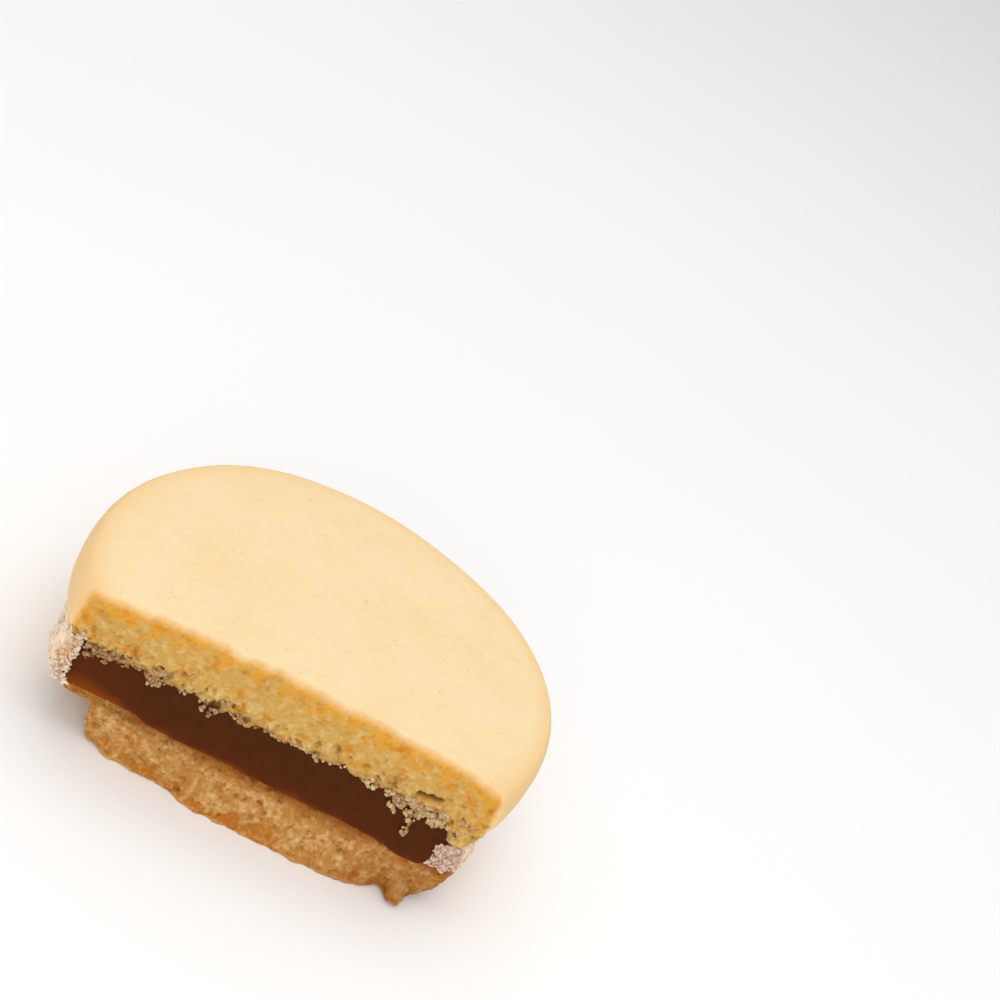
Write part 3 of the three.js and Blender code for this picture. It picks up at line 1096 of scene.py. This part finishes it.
@dataclass
class LowerBiscuit:
    """The lower biscuit: turned over, its domed face down, one corner broken away.

    foot_line says how far the cut's foot stands out along it, and lump where a lump of crumb
    starts and ends.
    """

    stack: Stack
    plan: Plan = Plan(30.1, 0.4, ((2, 0.2, -0.1), (3, 0.1, 0.15), (5, 0.1, -0.12), (9, 0.06, 0.05)))
    chip: Chip = Chip(-22.3, -3.8, 3.4, 4.4, 6.75, 7.45, 4.6)
    foot: float = 1.3
    shoulder_in: float = 2.6
    shoulder_up: float = 3.0
    dome: float = 2.4
    level: float = 15.0
    texture: TornCrumb = TornCrumb(1.05, 0.52, 1.0, 0.2, 0.55, 92, 97, (0.27, 0.18, 0.34, -0.3))
    foot_line: tuple[Wave, ...] = (
        (-13.0, -5.0, 1.7), (14.5, 21.0, -1.7), (18.5, 21.0, -1.0), (-17.5, -21.5, -1.4),
    )
    lump: tuple[Wave, ...] = ((21.4, 22.4, 2.4), (23.5, 24.5, -2.4))
    cut_columns: int = 380
    rim_columns: int = 220
    chip_columns: int = 90

    def side(self) -> Array:
        """Rim profile from the shoulder below to the rounded flat side above, finer at the ledge."""
        top = self.stack.lower_top
        under = quarter(self.shoulder_in, self.shoulder_up, -90, 0, 0, self.dome + self.shoulder_up)
        over = quarter(self.foot, self.foot, 0, 90, 0, top - self.foot)
        steps = even_steps(np.concatenate([under, over]), 0.14)
        at_ledge = np.linspace(self.chip.ledge_low, self.chip.ledge_high, 16)
        more = np.stack([np.interp(at_ledge, steps[:, 1], steps[:, 0]), at_ledge], -1)
        every = np.concatenate([steps, more])
        return every[np.argsort(every[:, 1])]

    def low(self, x: Array, y: Array) -> Array:
        """Baked face: level in the middle, then rising as the square of the way to the rim."""
        out = np.hypot(x - self.plan.shift, y) - self.level
        share = np.clip(out / (self.plan.radius - self.shoulder_in - self.level), 0, 1)
        return self.dome * share**2 * (1 - 0.75 * self.stack.near_cut(y, 6.0, 0.0))

    def high(self, x: Array, y: Array) -> Array:
        """Flat side, in touch with the caramel, and standing higher at the -X end of the cut."""
        return self.stack.lower_top + 0.6 * self.stack.near_cut(y, 2.5, 0.8) * ramp(x, -15.0, -17.5)

    def cut(self, x: Array, z: Array) -> Array:
        """Cut face: torn, its foot standing out in mid length, with one lump near the +X end."""
        down = np.clip(1 - z / self.stack.lower_top, 0, 1)
        line = cut_places(x, z * 0.4)
        rough = 0.3 * cloud(line, 4.2, 81) + 0.22 * cloud(line, 1.5, 82)
        ledge = 0.3 * ramp(z, self.stack.lower_top - 1.2, self.stack.lower_top)
        out = slopes(x, self.foot_line) * down + slopes(x, self.lump) * ramp(z, 3.6, 1.8)
        return self.stack.cut_y - out + rough * (0.3 + 0.7 * down) + ledge

    def build(self) -> Skin:
        """Grids the layer, then adds its coarse grain, pits and ragged foot.

        Returns:
            The surface, with marks for crumb, depth under the crust (for the painted glow), relief (for
            painted highlight and shade), baking and caramel soak.
        """
        caps = (cap_shares(6, 0.012, 20), cap_shares(3, 0.02, 5))
        shapes = (self.plan, self.side(), self.low, self.high, self.cut)
        columns = (self.cut_columns, self.rim_columns)
        slab = Slab(*shapes, *columns, *caps, self.chip, self.chip_columns, (2.0, 6.0))
        base, normal, x, y, z = layer_base(slab)
        column = np.arange(base.shape[1])[None]
        face = (column < self.cut_columns) | (column >= self.cut_columns + self.rim_columns)
        outer = (y < self.stack.cut_y + 2.5) | (x < self.chip.edge_x + 5.5)
        frayed = ramp(y, -6.0, -12.0) * (x > 0) * (~face)
        at_cut = np.maximum(face * outer, frayed)
        above = z - self.low(x, y)
        coarse, fine, soft, pits = self.texture.at(base)
        crumb = at_cut * ramp(above + 0.4 * cloud(base, 1.0, 91), -0.05, 0.4)
        relief = self.texture.relief((coarse, fine, soft, pits))
        skin = 0.05 * cloud(base, 1.4, 95, 2)
        broken = np.maximum(crumb, 0.8 * at_cut)
        points = base + normal * (broken * relief + (1 - broken) * skin)[..., None]
        points[..., 2] = np.maximum(points[..., 2], 0.0)
        rim_in = self.plan.distance_in(x, y)
        near_caramel = ramp(z + 0.4 * soft, self.stack.lower_top - 2.2, self.stack.lower_top + 0.1)
        near_caramel = 0.9 * near_caramel * (1 - 0.65 * ramp(x, -15.0, -22.0))
        soaked = np.maximum(near_caramel, 0.3 * ramp(x + 2 * soft, 13.0, 19.0))
        marks = {
            "crumb": crumb,
            # depth sets the painted golden glow under the crust.
            "depth": np.clip(np.minimum(above, np.maximum(rim_in, 0.0)) / PALE_DEPTH, 0, 1),
            # relief paints highlight on grain tips and shade in pits and creases.
            "relief": coarse * 0.45 + fine * 0.45 + soft * 0.4 - 0.4 * pits,
            "baked": (1 - crumb) * np.clip(0.25 + 0.75 * ramp(z + 0.8 * soft, 3.6, 0.6), 0, 1),
            "stain_and_shade": at_cut * soaked,
        }
        return close(points, slab, marks)


# ---- Coat and crumbs -------------------------------------------------------------------------


def out_of_cut(rng: np.random.Generator, count: int) -> Array:
    """Directions out of the cut face, each leaning a little at random."""
    return np.stack([rng.normal(0, 0.4, count), np.full(count, -1.0), rng.normal(0, 0.4, count)], -1)


def pebbles(
    centre: Array,
    outward: Array,
    shape: Array,
    rng: np.random.Generator,
    marks: dict[str, Array],
    roughness: float,
) -> Skin:
    """Copies of a small rough pebble, each turned at random about its outward direction.

    A pebble's own x and y lie along the surface and its z points outwards. Its points are pushed
    in and out by random amounts, so that no two are alike.

    Args:
        centre: Middles in millimetres.
        outward: Directions away from the surface.
        shape: Half sizes along the pebble's own axes.
        rng: Source of the random turns.
        marks: One number for each pebble, by name.
        roughness: Usual share by which a point is pushed in or out.

    Returns:
        All of them as one surface.
    """
    ball, triangles = blob()
    n = len(centre)
    axis = outward / np.linalg.norm(outward, axis=1, keepdims=True)
    side = np.cross(axis, rng.normal(size=(n, 3)))
    side /= np.linalg.norm(side, axis=1, keepdims=True)
    frames = np.stack([side, np.cross(axis, side), axis], axis=1)
    rough = 1 + rng.normal(scale=roughness, size=(n, len(ball), 1))
    points = centre[:, None] + (ball * rough * shape[:, None, :]) @ frames
    faces = (triangles[None] + (np.arange(n) * len(ball))[:, None, None]).reshape(-1, 3)
    full = {name: np.repeat(values, len(ball)) for name, values in marks.items()}
    return Skin(points.reshape(-1, 3), faces, full)


@dataclass
class CoconutCoat:
    """The coat of grated coconut on the caramel's rim: a thick granular shell and its shreds.

    The shell is a closed band. Its section runs up outside and down inside, it is carried round the
    rim from one end of the cut to the other, and it is shut at both by rings in the cut's plane. At
    the +X end it is sunk by right_sink, and inside by inner_sink more, as a bell over right_end.
    """

    filling: Filling
    round_steps: int = 330
    outer_steps: int = 60
    inner_steps: int = 14
    end_rings: int = 12
    right_sink: float = 0.45
    inner_sink: float = 0.22
    right_end: tuple[float, float] = (-0.48, 0.13)
    shreds: int = 1200
    left_shreds: int = 190
    right_shreds: int = 130

    def section(self) -> tuple[Array, Array]:
        """The band's section.

        Returns:
            Share of the filling's height, and 1 outside or 0 inside, point by point.
        """
        up_out = np.linspace(-0.02, 1.05, self.outer_steps)
        up_in = np.linspace(1.05, -0.02, self.inner_steps + 2)[1:-1]
        outside = np.concatenate([np.ones(self.outer_steps), np.zeros(self.inner_steps)])
        return np.concatenate([up_out, up_in]), outside

    def reach(self, angle: Array, up: Array, outside: Array) -> Array:
        """Distance from the filling's axis: the plan, drawn in elliptically above and below.

        Args:
            angle: Angle about the axis.
            up: Share of the filling's height.
            outside: 1 on the coat's outside and 0 where it meets the caramel.

        Returns:
            Distances in millimetres.
        """
        fill = self.filling
        below = np.clip((fill.widest - up) / fill.widest, 0, 1)
        above = np.clip((up - fill.widest) / (1.1 - fill.widest), 0, 1)
        drawn = fill.foot_in * (1 - np.sqrt(1 - below**2)) + fill.top_in * (1 - np.sqrt(1 - above**2))
        inner = fill.core().reach(angle) - 0.5 * drawn - 0.4
        return outside * (fill.plan.reach(angle) - drawn) + (1 - outside) * inner

    def ends(self, up: Array, outside: Array) -> tuple[Array, Array]:
        """Angles at which each line of the band meets the cut: its sine is the cut's y over reach."""
        y = self.filling.stack.cut_y + 0.1
        start, stop = np.full_like(up, -0.47), np.full_like(up, math.pi + 0.47)
        for _ in range(6):
            start = np.arcsin(y / self.reach(start, up, outside))
            stop = math.pi - np.arcsin(y / self.reach(stop, up, outside))
        return start, stop

    def points_at(self, angle: Array, up: Array, outside: Array) -> Array:
        """Points of the band before any relief."""
        stack = self.filling.stack
        reach = self.reach(angle, up, outside)
        x = self.filling.plan.shift + reach * np.cos(angle)
        sunk = 1 - (self.right_sink + self.inner_sink * (1 - outside)) * swell(angle, *self.right_end)
        z = stack.lower_top + up * sunk * (stack.upper_base - stack.lower_top)
        return np.stack(np.broadcast_arrays(x, reach * np.sin(angle), z), -1)

    def shell(self) -> Skin:
        """The closed band with its granular relief.

        Returns:
            The surface, with a mark for caramel showing in its hollows and painted shade there and at its
            cut ends, most at the +X end.
        """
        up, outside = self.section()
        start, stop = self.ends(up, outside)
        t = np.linspace(0, 1, self.round_steps)[:, None]
        band = self.points_at(start + (stop - start) * t, up, outside)
        shrink = np.linspace(0.97, 0.08, self.end_rings)[:, None, None]
        first, last = band[0].mean(axis=0), band[-1].mean(axis=0)
        opening = first + shrink[::-1] * (band[0] - first)
        closing = last + shrink * (band[-1] - last)
        points = np.concatenate([opening, band, closing])
        coarse, fine, lumps = rubble(points, 0.9, 101), rubble(points, 0.48, 102), cloud(points, 2.2, 103)
        relief = 0.1 * coarse + 0.08 * fine + 0.25 * lumps
        outward = points - np.array([self.filling.plan.shift, 0.0, 0.0])
        outward[..., 2] = 0.0
        outward /= np.linalg.norm(outward, axis=-1, keepdims=True)
        rows = np.arange(len(points))
        at_end = (rows < self.end_rings) | (rows >= len(points) - self.end_rings)
        outward[at_end] = np.array([0.0, -1.0, 0.0])
        amount = np.where(at_end[:, None], 1.0, outside[None]) * relief
        points = points + outward * amount[..., None]
        points[..., 2] += 0.9 * relief * ramp(up, 0.8, 1.0)
        every = np.concatenate([points.reshape(-1, 3), points[[0, -1]].mean(axis=1)])
        # Painted shade at both cut ends, most at the +X end, and in the hollows between lumps, where
        # caramel also shows.
        end_shade = 0.2 * at_end + 0.5 * (rows < self.end_rings)
        stain_and_shade = np.clip(0.15 - 0.6 * (coarse * 0.6 + lumps * 0.6) + end_shade[:, None], 0, 0.95)
        faces = wrapped_faces(len(points), len(up))
        return Skin(every, faces[:, ::-1], {"stain_and_shade": np.concatenate([stain_and_shade.ravel(), [0.4, 0.4]])})

    def on_rim(self, rng: np.random.Generator) -> tuple[Array, Array]:
        """Random places on the coat's outside and the directions away from it."""
        start, stop = self.ends(np.array([0.4]), np.array([1.0]))
        angle = rng.uniform(start[0] + 0.01, stop[0] - 0.01, self.shreds)
        up = 0.02 + 0.98 * rng.beta(1.3, 1.3, self.shreds)
        places = self.points_at(angle, up, np.ones(self.shreds))
        away = np.stack([np.cos(angle), np.sin(angle), 1.2 * (up - 0.45)], -1)
        return places + away * rng.uniform(-0.1, 0.16, (self.shreds, 1)), away

    def on_cut(self, rng: np.random.Generator, count: int, left: bool) -> tuple[Array, Array]:
        """Random places on one cut end of the coat and the directions away from it."""
        up = rng.uniform(0.04, 1.05, count)
        share = rng.beta(0.8, 1.0, count)
        start, stop = self.ends(up, share)
        places = self.points_at(stop if left else start, up, share)
        places[:, 1] -= rng.uniform(0.0, 0.5, count)
        return places, out_of_cut(rng, count)

    def scatter(self) -> Skin:
        """Shreds of coconut: flattened pebbles, longer than wide, on the rim and both cut ends."""
        rng = np.random.default_rng(7)
        left, right = self.on_cut(rng, self.left_shreds, True), self.on_cut(rng, self.right_shreds, False)
        parts = [self.on_rim(rng), left, right]
        places = np.concatenate([p[0] for p in parts])
        away = np.concatenate([p[1] for p in parts])
        n = len(places)
        size = rng.lognormal(math.log(0.17), 0.32, n)
        shape = np.stack([size * rng.uniform(1.1, 2.2, n), size, size * rng.uniform(0.5, 0.9, n)], -1)
        stain_and_shade = rng.beta(1.0, 3.2, n) * 0.8
        # Painted shade on the shreds at the +X cut end.
        stain_and_shade[-self.right_shreds :] += 0.35
        return pebbles(places, away, shape, rng, {"stain_and_shade": np.clip(stain_and_shade, 0, 1)}, 0.22)


@dataclass(frozen=True)
class CrumbPatch:
    """A drift of crumbs on the cut: where it lies along the cut, how far it hangs, how many."""

    middle: float
    width: float
    drop: float
    count: int
    size: float


@dataclass
class CutCrumbs:
    """Torn crumbs that stick to the caramel under the upper biscuit."""

    filling: Filling
    patches: tuple[CrumbPatch, ...] = (
        CrumbPatch(0.0, 17.0, 1.5, 500, 0.17),
        CrumbPatch(-25.7, 1.2, 3.6, 130, 0.2),
        CrumbPatch(-24.0, 1.9, 3.0, 260, 0.22),
        CrumbPatch(-21.5, 2.2, 2.2, 190, 0.2),
        CrumbPatch(-17.4, 2.3, 2.8, 270, 0.23),
        CrumbPatch(-13.5, 1.8, 1.8, 110, 0.19),
        CrumbPatch(-9.6, 1.9, 3.3, 240, 0.22),
        CrumbPatch(-5.6, 1.6, 1.9, 140, 0.21),
        CrumbPatch(0.0, 2.4, 1.7, 120, 0.19),
        CrumbPatch(5.0, 2.4, 1.6, 100, 0.18),
        CrumbPatch(12.5, 1.6, 1.8, 110, 0.2),
        CrumbPatch(16.6, 1.6, 3.9, 340, 0.25),
        CrumbPatch(19.2, 1.25, 6.3, 430, 0.25),
        CrumbPatch(22.3, 1.9, 3.6, 300, 0.26),
        CrumbPatch(25.2, 1.4, 3.8, 190, 0.24),
        CrumbPatch(26.0, 0.7, 5.2, 220, 0.22),
    )
    roughness: float = 0.11
    middle: float = 0.9
    reach: float = 28.0
    lift: float = 0.2

    def build(self) -> Skin:
        """Places each patch's crumbs: a bell curve along the cut, thinning out downwards.

        Returns:
            The crumbs, with a mark for how much the caramel has stained each.
        """
        rng = np.random.default_rng(23)
        stack = self.filling.stack
        total = sum(p.count for p in self.patches)
        middle, width, drop, size = (
            np.concatenate([np.full(p.count, getattr(p, name)) for p in self.patches])
            for name in ("middle", "width", "drop", "size")
        )
        away = np.clip(rng.normal(size=total), -2.2, 2.2)
        x = middle + width * 0.62 * away
        hang = drop * np.exp(-0.35 * away**2) * rng.beta(1.0, 1.35, total)
        size = np.clip(size * rng.lognormal(-0.1, 0.36, total), 0.08, 0.36)
        spread = np.stack([x, np.zeros(total), hang], -1)
        luck = cloud(spread, 0.9, 110) + 0.25 * rng.normal(size=total) - 0.22 * ramp(x, 14.0, 16.0)
        keep = (np.abs(x - self.middle) < self.reach) & (luck > 0.25 * ramp(hang, 0.6, 3.0) - 0.35)
        x, hang, size = x[keep], hang[keep], size[keep]
        n = len(x)
        z = stack.upper_base + self.lift - hang
        y = self.filling.cut(x, z) - size * rng.uniform(-0.2, 0.9, n) - 0.2 * ramp(hang, 0.3, 1.5)
        outward = out_of_cut(rng, n)
        shape = size[:, None] * rng.uniform(0.7, 1.25, (n, 3))
        tinted = 0.22 * ramp(x, 8.0, -4.0) + 0.2 * ramp(x, -14.0, -24.0)
        stain_and_shade = np.clip(rng.beta(0.9, 2.0, n) + tinted, 0, 1)
        return pebbles(np.stack([x, y, z], -1), outward, shape, rng, {"stain_and_shade": stain_and_shade}, self.roughness)


# ---- Stage -----------------------------------------------------------------------------------


@dataclass(frozen=True)
class Studio:
    """A pale floor, a bright even surround and two large soft lamps."""

    place: Place
    azimuth: float = -8.763
    elevation: float = 29.753
    roll: float = 32.202
    distance: float = 260.872
    aim_right: float = -32.188
    aim_up: float = -33.428
    aim_height: float = 0.6
    lens: float = 70.0
    surround: float = 0.64
    floor_reach: float = 900.0
    floor_sides: int = 64

    def camera(self) -> None:
        """Sets the camera from its angles, its distance and how far off centre the round lies.

        The back direction comes from azimuth and elevation. The right and up directions are
        level and upright before the roll turns both about the back direction.
        """
        a, e, r = (math.radians(v) for v in (self.azimuth, self.elevation, self.roll))
        back = Vector((math.sin(a) * math.cos(e), -math.cos(a) * math.cos(e), math.sin(e)))
        level = Vector((math.cos(a), math.sin(a), 0))
        upright = back.cross(level)
        right = math.cos(r) * level + math.sin(r) * upright
        up = -math.sin(r) * level + math.cos(r) * upright
        centre = Vector((self.place.x, self.place.y, self.aim_height))
        where = centre + back * self.distance - right * self.aim_right - up * self.aim_up
        data = bpy.data.cameras.new("studio_camera")
        data.lens = self.lens
        data.clip_start = 0.01
        made = add_object("studio_camera", data)
        made.matrix_world = Matrix.Translation(where * MM) @ Matrix((right, up, back)).transposed().to_4x4()
        bpy.context.scene.camera = made

    def floor(self) -> None:
        """A wide plain disc of matt white card."""
        angle = np.linspace(0, 2 * math.pi, self.floor_sides, endpoint=False)
        rim = np.stack([np.cos(angle), np.sin(angle), np.zeros(self.floor_sides)], -1) * self.floor_reach
        mesh = bpy.data.meshes.new("floor")
        mesh.from_pydata((rim * MM).tolist(), [], [list(range(self.floor_sides))])
        p = Painter("matt_white_card")
        tone = p.blend(p.noise(60.0, 0.3, 0.7, most=0.2), "#fbfaf9", "#f8f7f6")
        mesh.materials.append(p.finish(tone, p.noise(1.5, 0.3, 0.7), bump_mm=0.01, Roughness=0.9))
        add_object("floor", mesh)

    def lamp(self, name: str, where: Vector, size: float, power: float) -> None:
        """A square soft lamp that points at the middle of the round.

        Args:
            name: Its name.
            where: Its place in metres.
            size: Its width in metres.
            power: Its power in watts.
        """
        data = bpy.data.lights.new(name, "AREA")
        data.size = size
        data.energy = power
        made = add_object(name, data)
        target = Vector((self.place.x, self.place.y, 10)) * MM
        made.location = where
        made.rotation_euler = (where - target).to_track_quat("Z", "Y").to_euler()

    def light(self) -> None:
        """An even white surround, a broad lamp overhead and a weaker one beside the cut."""
        world = bpy.data.worlds.new("studio_surround")
        world.use_nodes = True
        background = world.node_tree.nodes["Background"].inputs
        background["Color"].default_value = (1, 1, 1, 1)
        background["Strength"].default_value = self.surround
        bpy.context.scene.world = world
        self.lamp("overhead_lamp", Vector((0.0, 0.0, 0.6)), 0.7, 1.55)
        self.lamp("front_lamp", Vector((-0.05, -0.55, 0.35)), 0.5, 1.2)
        bpy.context.scene.view_settings.view_transform = "Standard"


# ---- The whole -------------------------------------------------------------------------------


def read_stack() -> Stack:
    """Finds the middle of the round and the layers' heights from the CAD nodes' boxes.

    The upper biscuit's outline is known, so the far corner of its box less the outline's own
    reach towards +X and +Y is the middle of the round.

    Returns:
        The heights and the cut in millimetres.
    """
    plan = UpperBiscuit.plan
    angle = np.linspace(0, math.pi, 721)
    reach = plan.reach(angle)
    top_low, top_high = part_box("biscuit_top")
    _, low_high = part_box("biscuit_bottom")
    x = top_high.x / MM - float((reach * np.cos(angle)).max())
    y = top_high.y / MM - float((reach * np.sin(angle)).max())
    lower_top, upper_base = low_high.z / MM + HALF_GAP, top_low.z / MM - HALF_GAP
    return Stack(Place(x, y), CUT_Y, lower_top, upper_base, top_high.z / MM)


def attach(piece: bpy.types.Object, replaced: str | None = None) -> None:
    """Parents a piece to the one body, hides the CAD node it stands for, and logs its triangles."""
    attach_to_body(piece, "root")
    if replaced:
        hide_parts(replaced)
    LOG.info("%s: %d triangles", piece.name, len(piece.data.polygons))


def main() -> None:
    """Builds the layers, the coat, the crumbs and the studio."""
    logging.basicConfig(level=logging.INFO, format="%(name)s %(message)s")
    stack = read_stack()
    LOG.info("middle of the round at %.3f, %.3f mm", stack.place.x, stack.place.y)
    filling = Filling(stack)
    coat = CoconutCoat(filling)
    caramel = CARAMEL_FINISH.material()
    coconut = COCONUT_FINISH.material()
    upper = UpperBiscuit(stack).build().make("upper_biscuit", stack.place, UPPER_FINISH.material())
    attach(upper, "biscuit_top")
    attach(filling.build().make("caramel", stack.place, caramel), "filling")
    lower = LowerBiscuit(stack).build().make("lower_biscuit", stack.place, LOWER_FINISH.material())
    attach(lower, "biscuit_bottom")
    attach(coat.shell().make("coconut_coat", stack.place, coconut))
    attach(coat.scatter().make("coconut_shreds", stack.place, coconut))
    crumbs = CutCrumbs(filling).build().make("cut_crumbs", stack.place, CRUMB_FINISH.material())
    attach(crumbs)
    studio = Studio(stack.place)
    studio.floor()
    studio.light()
    studio.camera()


if __name__ == "__main__":
    main()
